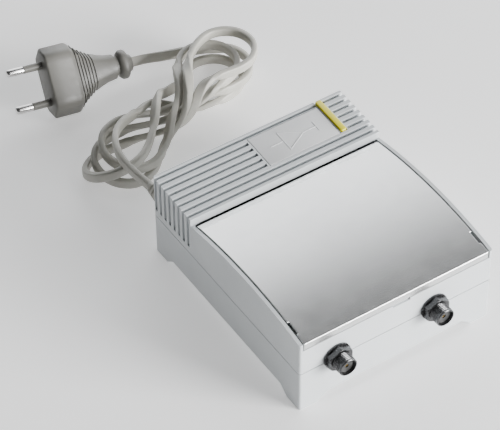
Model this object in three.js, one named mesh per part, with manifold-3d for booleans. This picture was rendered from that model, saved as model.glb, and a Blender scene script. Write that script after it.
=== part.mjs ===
// Mains-fed coaxial signal booster: a flat two-part plastic box with a ribbed rear deck, a crowned
// cover that tips up, two threaded coaxial sockets and a flat mains lead folded into a hank.
// Millimetres. +X right along the front, +Y to the back, +Z up. Origin under the middle, on the table.
import * as THREE from 'three';
import { mergeVertices } from 'three/addons/utils/BufferGeometryUtils.js';
import Module from 'manifold-3d';

const wasm = await Module();
wasm.setup();

// ---- driving dimensions ----
const WIDTH = 104;
const FRONT_Y = -55;
const BACK_Y = 64.4;
const SEAM_Z = 23.2;
const SEAM_GAP = 0.4;
const WALL = 2.2;
const CORNER_RADIUS = 1.2;
const GAP = 0.3;
const FOOT_LENGTH = 10;
const FOOT_HEIGHT = 4.2;
const FOOT_RAMP = 5;
const FLOOR_TOP = 6.6;

const REAR_TOP_Z = 47.6;
const STEP_TOP_Z = 45.9;
const STEP_Y = 32.4;
const RIB_PITCH = 3.9;
const GROOVE_WIDTH = 1.9;
const GROOVE_DEPTH = 2;
const GROOVE_COUNT = 8;
const FIRST_GROOVE_Y = 62.1;
const SIDE_GROOVE_DEPTH = 1.2;
const SIDE_GROOVE_END_Z = 27.4;

const COVER_EDGE_Z = 42.2;
const COVER_CROWN = 4.3;
const COVER_BACK_Y = 31.2;
const COVER_HALF = 49.6;
const COVER_THICKNESS = 1.8;
const COVER_LIP_Z = 38.4;
const RIM_INNER_HALF = 50.3;
const DECK_TOP_Z = 36.5;
const DECK_THICKNESS = 1.8;
const HINGE_Y = 28.8;
const HINGE_Z = 40.2;
const HINGE_PIN_RADIUS = 1;

const PLATE = { left: -3, right: 36.4, front: 41, back: 61 };
const BAR = { left: 36.9, right: 40.1, front: 41.6, back: 63.9, proud: 0.9 };

const SOCKET_X = [-32.4, 20];
const SOCKET_Z = 25;
const SOCKET_END_Y = -64.4;
const BARREL_RADIUS = 4.76;
const SOCKET_BORE_RADIUS = 3.9;

const SCREW_X = 45.4;
const SCREW_Y = [-48.4, 46];
const BOARD_TOP_Z = 13.6;
const BOARD_THICKNESS = 1.6;
const BOARD_FRONT_Y = -43;
const BOARD_BACK_Y = 20;
const CLAMP_Y = 55.2;
const ADJUSTER = { x: -6, y: -22, radius: 4.2 };

const CORD_RADIUS = 2.1;
const CORD_EXIT = { x: -43.5, z: 22 };
const RELIEF_LENGTH = 17.6;
const HANK = { x: -1, y: 132, turn: 20.5, foldCentre: 43, radius: 16.6, height: 22.6 };

const PLUG_FACE = new THREE.Vector3(-45.6, 175.8, 16.7);
const PLUG_YAW = THREE.MathUtils.degToRad(176);
const PLUG_PITCH = THREE.MathUtils.degToRad(8);
const PLUG_ROLL = THREE.MathUtils.degToRad(-48);
const PLUG_LENGTH = 47;
const PIN_SPACING = 18.6;
const PIN_LENGTH = 19;
const PIN_RADIUS = 2;
const SLEEVE_RADIUS = 1.95;
const SLEEVE_TOP = 10;
const SLEEVE_ROOT = -8;

// ---- shape helpers ----
const model = new THREE.Group();

// Joins the vertices that a geometry class leaves doubled, and drops the slivers this makes.
function welded(geometry) {
  const bare = geometry.clone();
  bare.deleteAttribute('normal');
  bare.deleteAttribute('uv');
  const merged = mergeVertices(bare, 1e-4);
  const corners = merged.index.array;
  const kept = [];
  for (let i = 0; i < corners.length; i += 3) {
    const [a, b, c] = [corners[i], corners[i + 1], corners[i + 2]];
    if (a !== b && b !== c && c !== a) kept.push(a, b, c);
  }
  merged.setIndex(kept);
  return merged;
}

function solid(geometry) {
  const merged = welded(geometry);
  const vertProperties = new Float32Array(merged.attributes.position.array);
  const triVerts = new Uint32Array(merged.index.array);
  return new wasm.Manifold(new wasm.Mesh({ numProp: 3, vertProperties, triVerts }));
}

function geometryOf(body) {
  const mesh = body.getMesh();
  const geometry = new THREE.BufferGeometry();
  geometry.setAttribute('position', new THREE.BufferAttribute(new Float32Array(mesh.vertProperties), 3));
  geometry.setIndex(Array.from(mesh.triVerts));
  return geometry;
}

function cut(body, ...tools) {
  return tools.reduce((rest, tool) => rest.subtract(tool), body);
}

function join(body, ...others) {
  return others.reduce((whole, other) => whole.add(other), body);
}

function box(x0, x1, y0, y1, z0, z1) {
  const geometry = new THREE.BoxGeometry(x1 - x0, y1 - y0, z1 - z0);
  return solid(geometry.translate((x0 + x1) / 2, (y0 + y1) / 2, (z0 + z1) / 2));
}

function cylinderUp(x, y, z0, z1, radius, sides = 24) {
  const geometry = new THREE.CylinderGeometry(radius, radius, z1 - z0, sides);
  return solid(geometry.rotateX(Math.PI / 2).translate(x, y, (z0 + z1) / 2));
}

function cylinderBack(x, z, y0, y1, radius, sides = 24) {
  const geometry = new THREE.CylinderGeometry(radius, radius, y1 - y0, sides);
  return solid(geometry.translate(x, (y0 + y1) / 2, z));
}

function cylinderAcross(y, z, x0, x1, radius, sides = 16) {
  const geometry = new THREE.CylinderGeometry(radius, radius, x1 - x0, sides);
  return solid(geometry.rotateZ(Math.PI / 2).translate((x0 + x1) / 2, y, z));
}

// A prism along X whose outline is given as (y, z) points.
function prismAcross(points, x0, x1) {
  const outline = new THREE.Shape(points.map(([y, z]) => new THREE.Vector2(y, z)));
  const geometry = new THREE.ExtrudeGeometry(outline, { depth: x1 - x0, bevelEnabled: false });
  const axes = new THREE.Matrix4().makeBasis(
    new THREE.Vector3(0, 1, 0), new THREE.Vector3(0, 0, 1), new THREE.Vector3(1, 0, 0));
  return solid(geometry.applyMatrix4(axes).translate(x0, 0, 0));
}

// A prism along Y whose outline is given as (x, z) points.
function prismBack(points, y0, y1) {
  const outline = new THREE.Shape(points.map(([x, z]) => new THREE.Vector2(x, -z)));
  const geometry = new THREE.ExtrudeGeometry(outline, { depth: y1 - y0, bevelEnabled: false });
  return solid(geometry.rotateX(-Math.PI / 2).translate(0, y0, 0));
}

function roundedPrism(inset, z0, z1, radius) {
  const [x, y0, y1] = [WIDTH / 2 - inset, FRONT_Y + inset, BACK_Y - inset];
  const outline = new THREE.Shape();
  outline.absarc(x - radius, y0 + radius, radius, -Math.PI / 2, 0);
  outline.absarc(x - radius, y1 - radius, radius, 0, Math.PI / 2);
  outline.absarc(-x + radius, y1 - radius, radius, Math.PI / 2, Math.PI);
  outline.absarc(-x + radius, y0 + radius, radius, Math.PI, Math.PI * 1.5);
  const options = { depth: z1 - z0, bevelEnabled: false, curveSegments: 4 };
  return solid(new THREE.ExtrudeGeometry(outline, options).translate(0, 0, z0));
}

// A solid of revolution about Z from (radius, z) points that start and end on the axis.
function turned(points, sides = 24) {
  const profile = points.map(([r, z]) => new THREE.Vector2(r, z));
  return solid(new THREE.LatheGeometry(profile, sides).rotateX(Math.PI / 2));
}

function place(name, body, material, parent = model) {
  const geometry = geometryOf(body).toNonIndexed();
  geometry.computeVertexNormals();
  const mesh = new THREE.Mesh(geometry, material());
  mesh.name = name;
  parent.add(mesh);
  return mesh;
}

function finish(color, roughness, metalness) {
  return () => new THREE.MeshStandardMaterial({ color, roughness, metalness });
}

// ---- finishes ----
const silverPlastic = finish(0xc9ccd0, 0.42, 0.25);
const coverSilver = finish(0xd4d5d4, 0.22, 0.35);
const palePlastic = finish(0xd2d5d4, 0.5, 0);
const yellowBar = finish(0xd8d23c, 0.35, 0);
const darkNickel = finish(0x55565a, 0.3, 0.9);
const greyInsulator = finish(0x8d8d8d, 0.6, 0);
const brass = finish(0xb89a55, 0.35, 0.9);
const boardGreen = finish(0x2f6b3c, 0.5, 0);
const tinPlate = finish(0xb9bcbf, 0.35, 0.85);
const coreSteel = finish(0x6d6f72, 0.6, 0.6);
const coilTape = finish(0xcaa53c, 0.6, 0);
const capacitorSleeve = finish(0x26303a, 0.45, 0);
const blackPackage = finish(0x1d1d1f, 0.5, 0);
const zincSteel = finish(0xa7abae, 0.4, 0.9);
const greyCord = finish(0xaaa9a0, 0.5, 0);
const plugGrey = finish(0xa3a29a, 0.5, 0);
const nickelPin = finish(0xc4c4c2, 0.2, 1);
const ledYellow = finish(0xd6c53a, 0.2, 0);
const fuseGlass = finish(0xcfd6d6, 0.1, 0);
const adjusterWhite = finish(0xe0dfd8, 0.5, 0);

// ---- the housing's outer surfaces ----
function rearDeckHeight(y) {
  return STEP_TOP_Z + (REAR_TOP_Z - STEP_TOP_Z) * (y - STEP_Y) / (BACK_Y - STEP_Y);
}

// The cover and the side rims share one shallow arc from the step to the front edge.
function crownHeight(y) {
  const middle = (COVER_BACK_Y + FRONT_Y) / 2;
  const half = (COVER_BACK_Y - FRONT_Y) / 2;
  const radius = (half * half + COVER_CROWN * COVER_CROWN) / (2 * COVER_CROWN);
  return COVER_EDGE_Z - (radius - COVER_CROWN) + Math.sqrt(radius * radius - (y - middle) ** 2);
}

function crownArc(yStart, yEnd, drop, steps = 14) {
  const points = [];
  for (let i = 0; i <= steps; i += 1) {
    const y = yStart + (yEnd - yStart) * i / steps;
    points.push([y, crownHeight(y) - drop]);
  }
  return points;
}

function grooveTools() {
  const tools = [];
  const half = WIDTH / 2;
  for (let i = 0; i < GROOVE_COUNT; i += 1) {
    const y = FIRST_GROOVE_Y - i * RIB_PITCH;
    const [y0, y1] = [y - GROOVE_WIDTH / 2, y + GROOVE_WIDTH / 2];
    const bottom = rearDeckHeight(y) - GROOVE_DEPTH;
    const crossesPlate = y > PLATE.front && y < PLATE.back;
    const stretches = crossesPlate
      ? [[-half - 1, PLATE.left - 0.8], [BAR.right + 0.8, half + 1]]
      : [[-half - 1, half + 1]];
    for (const [x0, x1] of stretches) tools.push(box(x0, x1, y0, y1, bottom, REAR_TOP_Z + 1));
    tools.push(box(-half - 1, -half + SIDE_GROOVE_DEPTH, y0, y1, SIDE_GROOVE_END_Z, REAR_TOP_Z + 1));
    tools.push(box(half - SIDE_GROOVE_DEPTH, half + 1, y0, y1, SIDE_GROOVE_END_Z, REAR_TOP_Z + 1));
  }
  return tools;
}

function deckSlab(bounds, top, bottom) {
  const outline = [
    [bounds.front, rearDeckHeight(bounds.front) + bottom],
    [bounds.back, rearDeckHeight(bounds.back) + bottom],
    [bounds.back, rearDeckHeight(bounds.back) + top],
    [bounds.front, rearDeckHeight(bounds.front) + top]];
  return prismAcross(outline, bounds.left, bounds.right);
}

function socketHoles() {
  return SOCKET_X.map((x) => cylinderBack(x, SOCKET_Z, FRONT_Y - 5, FRONT_Y + 5, BARREL_RADIUS + GAP));
}

function reliefHole() {
  return cylinderBack(CORD_EXIT.x, CORD_EXIT.z, BACK_Y - 5, BACK_Y + 5, 3.7 + GAP);
}

function forEachHousingScrew(make) {
  const made = [];
  for (const y of SCREW_Y) {
    for (const x of [-SCREW_X, SCREW_X]) made.push(make(x, y));
  }
  return made;
}

// ---- upper shell: ribbed rear deck, side rims and the recessed floor under the cover ----
function upperShell() {
  const bottom = SEAM_Z + SEAM_GAP;
  const outline = [[FRONT_Y - 1, bottom], [BACK_Y + 1, bottom], [BACK_Y + 1, rearDeckHeight(BACK_Y + 1)],
    [STEP_Y, STEP_TOP_Z], ...crownArc(STEP_Y, FRONT_Y, 0), [FRONT_Y - 1, crownHeight(FRONT_Y) - 0.1]];
  let shell = prismAcross(outline, -WIDTH / 2 - 1, WIDTH / 2 + 1);
  shell = shell.intersect(roundedPrism(0, 0, REAR_TOP_Z + 2, CORNER_RADIUS));
  const inner = WIDTH / 2 - WALL;
  const deckBottom = DECK_TOP_Z - DECK_THICKNESS;
  const rearWall = WALL + 0.8;
  const rearCeiling = STEP_TOP_Z - GROOVE_DEPTH - WALL;
  shell = cut(
    shell,
    box(-RIM_INNER_HALF, RIM_INNER_HALF, FRONT_Y + WALL + 0.4, STEP_Y, DECK_TOP_Z, 60),
    box(-RIM_INNER_HALF, RIM_INNER_HALF, FRONT_Y - 1, STEP_Y, COVER_LIP_Z - 0.3, 60),
    box(-inner, inner, FRONT_Y + WALL, STEP_Y + WALL, 0, deckBottom),
    box(-inner + 0.8, inner - 0.8, STEP_Y, BACK_Y - rearWall, 0, rearCeiling),
    ...grooveTools(),
    roundedPrism(WALL / 2 - GAP / 2, 0, SEAM_Z + 2.3, CORNER_RADIUS / 2),
  );
  const ceiling = (y) => (y > STEP_Y ? rearCeiling : deckBottom);
  const bosses = forEachHousingScrew((x, y) => cylinderUp(x, y, SEAM_Z - 2, ceiling(y) + 0.5, 3.4, 16));
  shell = join(shell, ...bosses);
  shell = cut(
    shell,
    ...forEachHousingScrew((x, y) => cylinderUp(x, y, SEAM_Z - 3, deckBottom - 2, 1.7, 16)),
    deckSlab(PLATE, 2, -1.3),
    deckSlab({ ...BAR, left: BAR.left - GAP, right: BAR.right + GAP, front: BAR.front - GAP,
      back: BACK_Y + 1 }, 2, -1.3),
    box(BAR.left + 0.6, BAR.right - 0.6, 50, 54, 40, 50),
    cylinderUp(ADJUSTER.x, ADJUSTER.y, 30, 40, ADJUSTER.radius + 1.2),
    ...socketHoles(),
    reliefHole(),
    box(-2.6, 6.9, FRONT_Y - 1, FRONT_Y + 1, COVER_LIP_Z - 1.5, COVER_LIP_Z),
    box(-RIM_INNER_HALF - 0.1, RIM_INNER_HALF + 0.1, HINGE_Y - 6, STEP_Y, DECK_TOP_Z - 0.6, DECK_TOP_Z + 1),
    cylinderAcross(HINGE_Y, HINGE_Z, -WIDTH / 2 + 0.6, WIDTH / 2 - 0.6, HINGE_PIN_RADIUS + GAP),
  );
  return shell;
}

// ---- lower shell: tray with four corner feet, screw wells and board posts ----
function underCut() {
  const foot = FOOT_LENGTH;
  const ramp = FOOT_LENGTH + FOOT_RAMP;
  const half = WIDTH / 2;
  const alongY = prismAcross(
    [[FRONT_Y + foot, -1], [FRONT_Y + foot, 0], [FRONT_Y + ramp, FOOT_HEIGHT], [BACK_Y - ramp, FOOT_HEIGHT],
      [BACK_Y - foot, 0], [BACK_Y - foot, -1]], -half - 1, half + 1);
  const alongX = prismBack(
    [[-half + foot, -1], [half - foot, -1], [half - foot, 0], [half - ramp, FOOT_HEIGHT],
      [-half + ramp, FOOT_HEIGHT], [-half + foot, 0]], FRONT_Y - 1, BACK_Y + 1);
  return [alongY, alongX];
}

function boardPostPlaces() {
  return [[-44, -36], [44, -36], [-44, 13], [44, 13]];
}

function lowerShell() {
  const tray = cut(
    roundedPrism(0, 0, SEAM_Z, CORNER_RADIUS),
    roundedPrism(WALL, FLOOR_TOP, SEAM_Z + 1, CORNER_RADIUS / 2),
    ...underCut(),
  );
  const lip = cut(
    roundedPrism(WALL / 2 + GAP / 2, SEAM_Z - 2, SEAM_Z + 2, CORNER_RADIUS / 2),
    roundedPrism(WALL, SEAM_Z - 3, SEAM_Z + 3, CORNER_RADIUS / 2),
  );
  const wells = forEachHousingScrew((x, y) => cylinderUp(x, y, 0.5, SEAM_Z - 2 - GAP, 4.6, 16));
  const posts = boardPostPlaces().map(([x, y]) => (
    cylinderUp(x, y, FLOOR_TOP - 1, BOARD_TOP_Z - BOARD_THICKNESS - GAP, 2.8, 16)));
  const clampSeat = box(-49.9, -36, CLAMP_Y - 3.8, CLAMP_Y + 3.8, FLOOR_TOP - 1, 17.4);
  return cut(
    join(tray, lip, ...wells, ...posts, clampSeat),
    ...forEachHousingScrew((x, y) => cylinderUp(x, y, -1, 6, 3.1, 16)),
    ...forEachHousingScrew((x, y) => cylinderUp(x, y, 5, SEAM_Z, 1.7, 16)),
    ...boardPostPlaces().map(([x, y]) => cylinderUp(x, y, FLOOR_TOP + 1, BOARD_TOP_Z, 1.3, 12)),
    cylinderUp(-47.6, CLAMP_Y, 10, 18, 1.1, 10),
    cylinderUp(-38, CLAMP_Y, 10, 18, 1.1, 10),
    ...socketHoles(),
    reliefHole(),
  );
}

// ---- cover panel: crowned plate with a turned-down front lip and two hinge ears ----
function coverPanel() {
  const outer = crownArc(COVER_BACK_Y, FRONT_Y, 0);
  const inner = crownArc(COVER_BACK_Y, FRONT_Y + COVER_THICKNESS, COVER_THICKNESS).reverse();
  const lip = [[FRONT_Y, COVER_LIP_Z], [FRONT_Y + COVER_THICKNESS, COVER_LIP_Z]];
  const plate = prismAcross([...outer, ...lip, ...inner], -COVER_HALF, COVER_HALF);
  const earTop = crownHeight(HINGE_Y) - 1;
  const ear = (x0) => prismAcross(
    [[HINGE_Y - 2, HINGE_Z - 1.8], [HINGE_Y + 1.6, HINGE_Z - 1.8], [HINGE_Y + 1.8, earTop],
      [HINGE_Y - 5, earTop]], x0, x0 + 3);
  const rib = (x0) => prismAcross(
    [...crownArc(20, -44, 1, 8), ...crownArc(20, -44, COVER_THICKNESS + 0.8, 8).reverse()], x0, x0 + 1.2);
  return cut(
    join(plate, ear(-COVER_HALF), ear(COVER_HALF - 3), rib(-30), rib(-0.6), rib(28.8)),
    cylinderAcross(HINGE_Y, HINGE_Z, -60, 60, HINGE_PIN_RADIUS + 0.1),
    box(-COVER_HALF - 1, -COVER_HALF + 1, -49, -42, 30, 60),
    box(COVER_HALF - 1, COVER_HALF + 1, -49, -42, 30, 60),
  );
}

function hingePin(side) {
  const [inner, outer] = [COVER_HALF - 3.4, WIDTH / 2 - 0.9];
  return side < 0
    ? cylinderAcross(HINGE_Y, HINGE_Z, -outer, -inner, HINGE_PIN_RADIUS)
    : cylinderAcross(HINGE_Y, HINGE_Z, inner, outer, HINGE_PIN_RADIUS);
}

function namePlate() {
  const inset = { left: PLATE.left + GAP, right: PLATE.right - GAP, front: PLATE.front + GAP,
    back: PLATE.back - GAP };
  return deckSlab(inset, 0, -1);
}

// The bar's stem reaches down to the lamp on the board.
function indicatorBar() {
  return join(
    deckSlab(BAR, BAR.proud, -1),
    box(BAR.left + 0.9, BAR.right - 0.9, 50.4, 53.6, 34, rearDeckHeight(52) - 0.5),
  );
}

// ---- coaxial sockets ----
function socketBody(x) {
  const front = cylinderBack(x, SOCKET_Z, SOCKET_END_Y, FRONT_Y + 8, BARREL_RADIUS);
  const flange = cylinderBack(x, SOCKET_Z, FRONT_Y + WALL + GAP, FRONT_Y + WALL + 2.3, 6.4);
  return cut(
    join(front, flange),
    cylinderBack(x, SOCKET_Z, SOCKET_END_Y - 1, FRONT_Y + 1, SOCKET_BORE_RADIUS),
    cylinderBack(x, SOCKET_Z, FRONT_Y, FRONT_Y + 9, 1.5, 16),
  );
}

function socketInsulator(x) {
  return cut(
    cylinderBack(x, SOCKET_Z, SOCKET_END_Y + 1.5, FRONT_Y + 1 - GAP, SOCKET_BORE_RADIUS - GAP),
    cylinderBack(x, SOCKET_Z, SOCKET_END_Y - 1, FRONT_Y + 2, 1, 12),
  );
}

function socketContact(x) {
  const tube = cut(
    cylinderBack(x, SOCKET_Z, SOCKET_END_Y + 1.9, FRONT_Y + 12, 0.7, 12),
    cylinderBack(x, SOCKET_Z, SOCKET_END_Y, FRONT_Y + 2, 0.4, 12),
  );
  return join(tube, box(x - 0.4, x + 0.4, FRONT_Y + 11, FRONT_Y + 14.5, SOCKET_Z - 0.4, SOCKET_Z + 0.4),
    box(x - 0.4, x + 0.4, FRONT_Y + 13.7, FRONT_Y + 14.5, BOARD_TOP_Z + GAP, SOCKET_Z));
}

function socketWasher(x) {
  return cut(
    cylinderBack(x, SOCKET_Z, FRONT_Y - 0.9, FRONT_Y - GAP, 7, 32),
    cylinderBack(x, SOCKET_Z, FRONT_Y - 2, FRONT_Y + 1, BARREL_RADIUS + GAP),
  );
}

function socketNut(x) {
  const acrossCorners = 12.4;
  return cut(
    cylinderBack(x, SOCKET_Z, FRONT_Y - 3.2, FRONT_Y - 1.2, acrossCorners / 2, 6),
    cylinderBack(x, SOCKET_Z, FRONT_Y - 4, FRONT_Y, BARREL_RADIUS + GAP),
  );
}

// ---- electronics ----
function circuitBoard() {
  const board = box(-48, 48, BOARD_FRONT_Y, BOARD_BACK_Y, BOARD_TOP_Z - BOARD_THICKNESS, BOARD_TOP_Z);
  return cut(
    board,
    ...boardPostPlaces().map(([x, y]) => cylinderUp(x, y, 8, 16, 1.5, 12)),
    ...forEachHousingScrew((x, y) => cylinderUp(x, y, 8, 16, 5, 16)),
  );
}

function screeningCan() {
  return cut(box(-34, 30, -39, -2, BOARD_TOP_Z + GAP, 19.4), box(-33.4, 29.4, -38.4, -2.6, 10, 20));
}

function screeningLid() {
  return cut(
    box(-34, 30, -38.4, -2, 19.7, 20.3),
    cylinderUp(ADJUSTER.x, ADJUSTER.y, 18, 22, ADJUSTER.radius + 1),
  );
}

function adjusterBody() {
  return cut(
    cylinderUp(ADJUSTER.x, ADJUSTER.y, BOARD_TOP_Z + GAP, 31, ADJUSTER.radius),
    cylinderUp(ADJUSTER.x, ADJUSTER.y, 24, 32, ADJUSTER.radius - 1.4),
  );
}

function adjusterRotor() {
  const { x, y } = ADJUSTER;
  return cut(
    join(cylinderUp(x, y, 24.3, 34, ADJUSTER.radius - 1.8), cylinderUp(x, y, 31.4, 36.1, ADJUSTER.radius)),
    box(x - 0.6, x + 0.6, y - 3, y + 3, 34.8, 37),
  );
}

const TRANSFORMER = { x: 12, y: 44, z: 20.6 };

function transformerCore() {
  const { x, y, z } = TRANSFORMER;
  const block = box(x - 18, x + 18, y - 8, y + 8, z - 13, z + 13);
  const window = (side) => box(x + side * 9 - 3.4, x + side * 9 + 3.4, y - 9, y + 9, z - 8.5, z + 8.5);
  return cut(block, window(-1), window(1));
}

function transformerCoil() {
  const { x, y, z } = TRANSFORMER;
  return cut(
    box(x - 11.8, x + 11.8, y - 13, y + 13, z - 8, z + 8),
    box(x - 5.9, x + 5.9, y - 8.4, y + 8.4, z - 9, z + 9),
  );
}

function canCapacitor(x, y, radius, height) {
  const bottom = BOARD_TOP_Z + GAP;
  return turned([[0, 0], [radius, 0], [radius, height - 0.6], [radius - 0.6, height], [0, height]])
    .translate([x, y, bottom]);
}

function regulator() {
  const bottom = BOARD_TOP_Z + GAP;
  return join(box(34, 44, -12, -7.6, bottom + 3, 26), box(34, 44, -7.8, -6.6, bottom + 3, 31),
    box(36, 36.8, -10, -9.2, bottom, bottom + 4), box(38.6, 39.4, -10, -9.2, bottom, bottom + 4),
    box(41.2, 42, -10, -9.2, bottom, bottom + 4));
}

const FUSE = { y: 57, z: 16.2 };

function fuse() {
  const { y, z } = FUSE;
  const cap = (x) => cylinderAcross(y, z, x, x + 5, 2.7, 16);
  return join(cylinderAcross(y, z, -22, -4, 2.4, 16), cap(-22.6), cap(-8.4));
}

function fuseHolder() {
  const { y, z } = FUSE;
  const clip = (x) => cut(
    box(x - 1.5, x + 1.5, y - 3.8, y + 3.8, FLOOR_TOP + GAP, z + 1.8),
    cylinderAcross(y, z, x - 3, x + 3, 3, 16));
  return join(box(-24, -2, y - 3.8, y + 3.8, FLOOR_TOP + GAP, FLOOR_TOP + 2.4), clip(-20), clip(-6));
}

function indicatorLed() {
  return turned([[0, 0], [1.6, 0], [1.6, 3.4], [1.3, 4.4], [0.7, 5], [0, 5.2]], 16)
    .translate([(BAR.left + BAR.right) / 2, 52, 28.4]);
}

function ledPost() {
  const x = (BAR.left + BAR.right) / 2;
  return cut(box(x - 3, x + 3, 49, 55, FLOOR_TOP + GAP, 28), box(x - 1.6, x + 1.6, 48, 56, 10, 24));
}

// ---- screws ----
function headedScrew(headRadius, headHeight, shankRadius, length) {
  const screw = turned([[0, 0], [headRadius - 0.3, 0], [headRadius, 0.4], [headRadius, headHeight],
    [shankRadius, headHeight], [shankRadius, headHeight + length - 1], [0, headHeight + length]], 16);
  const arm = headRadius * 0.55;
  const slot = join(box(-arm, arm, -0.35, 0.35, -1, 0.8), box(-0.35, 0.35, -arm, arm, -1, 0.8));
  return screw.subtract(slot);
}

function housingScrew(x, y) {
  return headedScrew(2.7, 2, 1.4, 23).translate([x, y, 3.7]);
}

function boardScrew(x, y) {
  return headedScrew(2.2, 1.4, 1, 4.6).rotate([180, 0, 0]).translate([x, y, BOARD_TOP_Z + GAP + 1.4]);
}

// ---- mains cord: relief, clamp, lead, hank and tail ----
// The sleeve's tapering boss is a flattened cone, because the lead is a flat twin.
function strainRelief() {
  const flange = [[0, -4.6], [5, -4.6], [5, -3.4], [3.7, -3.4]];
  const sleeve = [[3.7, 0.3], [4.8, 0.3], [4.8, 1.6], [4.2, 1.9], [3.1, RELIEF_LENGTH], [0, RELIEF_LENGTH]];
  const profile = [...flange, ...sleeve];
  const points = profile.map(([r, y]) => new THREE.Vector2(r, y));
  const geometry = new THREE.LatheGeometry(points, 24).translate(CORD_EXIT.x, BACK_Y, CORD_EXIT.z);
  return solid(geometry);
}

function cordClamp() {
  const [front, back] = [CLAMP_Y - 3, CLAMP_Y + 3];
  const hole = (x) => cylinderUp(x, CLAMP_Y, 16, 22, 1.1, 12);
  return cut(join(box(-49.4, -36, front, back, 17.7, 19), box(-45.5, -41.5, front, back, 18.8, 20.6)),
    hole(-47.6), hole(-38));
}

function clampScrew(x) {
  return headedScrew(1.8, 1.2, 0.8, 5).rotate([180, 0, 0]).translate([x, CLAMP_Y, 20.5]);
}

function cordTube(points) {
  const curve = new THREE.CatmullRomCurve3(points.map(([x, y, z]) => new THREE.Vector3(x, y, z)));
  const section = new THREE.Shape();
  section.absarc(0, 0, CORD_RADIUS, 0, Math.PI * 2);
  const steps = Math.max(2, Math.round(curve.getLength() / 5));
  return solid(new THREE.ExtrudeGeometry(section, { steps, extrudePath: curve, curveSegments: 4 }));
}

const LEAD_ROUTE = [
  [CORD_EXIT.x, BACK_Y + RELIEF_LENGTH + GAP, CORD_EXIT.z],
  [-44.1, 87, 21.8],
  [-45.2, 92, 21.3],
  [-46, 97.4, 20]];
const TAIL_ROUTE = [
  [33.5, 165.6, 8],
  [27, 167.4, 8],
  [19, 169.6, 8.3],
  [11, 171.6, 8.9],
  [1.9, 172.48, 10]];

function cordHank() {
  const outline = new THREE.Shape();
  outline.absarc(HANK.foldCentre, 0, HANK.radius, -Math.PI / 2, Math.PI / 2);
  outline.absarc(-HANK.foldCentre, 0, HANK.radius, Math.PI / 2, Math.PI * 1.5);
  const options = { depth: HANK.height, bevelEnabled: false, curveSegments: 12 };
  const geometry = new THREE.ExtrudeGeometry(outline, options);
  return solid(geometry.rotateZ(THREE.MathUtils.degToRad(HANK.turn)).translate(HANK.x, HANK.y, 0.1));
}

// ---- plug, built along +Z from its face, with X across the pins ----
function plugGroup() {
  const reach = Math.cos(PLUG_PITCH);
  const pins = new THREE.Vector3(
    reach * Math.cos(PLUG_YAW), reach * Math.sin(PLUG_YAW), Math.sin(PLUG_PITCH));
  const level = new THREE.Vector3(0, 0, 1).cross(pins).normalize();
  const across = level.applyAxisAngle(pins, PLUG_ROLL);
  const thick = pins.clone().cross(across);
  const group = new THREE.Group();
  group.quaternion.setFromRotationMatrix(new THREE.Matrix4().makeBasis(across, thick, pins));
  group.position.copy(PLUG_FACE);
  model.add(group);
  return group;
}

function prismThick(points, half) {
  const outline = new THREE.Shape(points.map(([x, z]) => new THREE.Vector2(x, -z)));
  const geometry = new THREE.ExtrudeGeometry(outline, { depth: 2 * half, bevelEnabled: false });
  return solid(geometry.rotateX(-Math.PI / 2).translate(0, -half, 0));
}

function prismSide(points, half) {
  const outline = new THREE.Shape(points.map(([y, z]) => new THREE.Vector2(y, z)));
  const geometry = new THREE.ExtrudeGeometry(outline, { depth: 2 * half, bevelEnabled: false });
  const axes = new THREE.Matrix4().makeBasis(
    new THREE.Vector3(0, 1, 0), new THREE.Vector3(0, 0, 1), new THREE.Vector3(1, 0, 0));
  return solid(geometry.applyMatrix4(axes).translate(-half, 0, 0));
}

function plugBody() {
  const collar = -PLUG_LENGTH;
  const plan = prismThick([[-17.6, 0], [-17.6, -15], [-11.5, -22], [-7.6, -30], [-6.2, -38], [-6.2, -39.6],
    [-7.4, -41], [-7.4, -44], [-4.6, -45], [-4.6, collar], [4.6, collar], [4.6, -45], [7.4, -44], [7.4, -41],
    [6.2, -39.6], [6.2, -38], [7.6, -30], [11.5, -22], [17.6, -15], [17.6, 0]], 10);
  const side = prismSide([[-6.85, 0], [6.85, 0], [6.85, -15], [5.2, -22], [4.2, -38], [4.2, -39.6],
    [5.2, -41], [5.2, -44], [3.4, -45], [3.4, collar], [-3.4, collar], [-3.4, -45], [-5.2, -44],
    [-5.2, -41], [-4.2, -39.6], [-4.2, -38], [-5.2, -22], [-6.85, -15]], 20);
  const hexagon = new THREE.Shape([[17.65, 0], [13.05, 6.85], [-13.05, 6.85], [-17.65, 0], [-13.05, -6.85],
    [13.05, -6.85]].map(([x, y]) => new THREE.Vector2(x, y)));
  const block = new THREE.ExtrudeGeometry(hexagon, { depth: 60, bevelEnabled: false }).translate(0, 0, -59);
  const well = SLEEVE_RADIUS + GAP;
  const wellShape = new THREE.CylinderGeometry(well, well, 18, 24).rotateX(Math.PI / 2);
  const pinWells = [-1, 1].map((hand) => solid(wellShape.clone().translate(hand * PIN_SPACING / 2, 0, 0)));
  return cut(plan.intersect(side).intersect(solid(block)), ...pinWells);
}

function plugPin(x) {
  const shoulder = SLEEVE_TOP + GAP;
  const root = [[0, -8.5], [1.3, -8.5], [1.3, shoulder], [PIN_RADIUS, shoulder]];
  const tip = [[PIN_RADIUS, PIN_LENGTH - 1], [1.4, PIN_LENGTH - 0.2], [0, PIN_LENGTH]];
  return turned([...root, ...tip], 16).translate([x, 0, 0]);
}

function pinSleeve(x) {
  const outer = turned([[0, SLEEVE_ROOT], [SLEEVE_RADIUS, SLEEVE_ROOT], [SLEEVE_RADIUS, SLEEVE_TOP],
    [0, SLEEVE_TOP]], 16);
  const bore = turned([[0, SLEEVE_ROOT - 1], [1.6, SLEEVE_ROOT - 1], [1.6, SLEEVE_TOP + 1],
    [0, SLEEVE_TOP + 1]], 16);
  return outer.subtract(bore).translate([x, 0, 0]);
}

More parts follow.
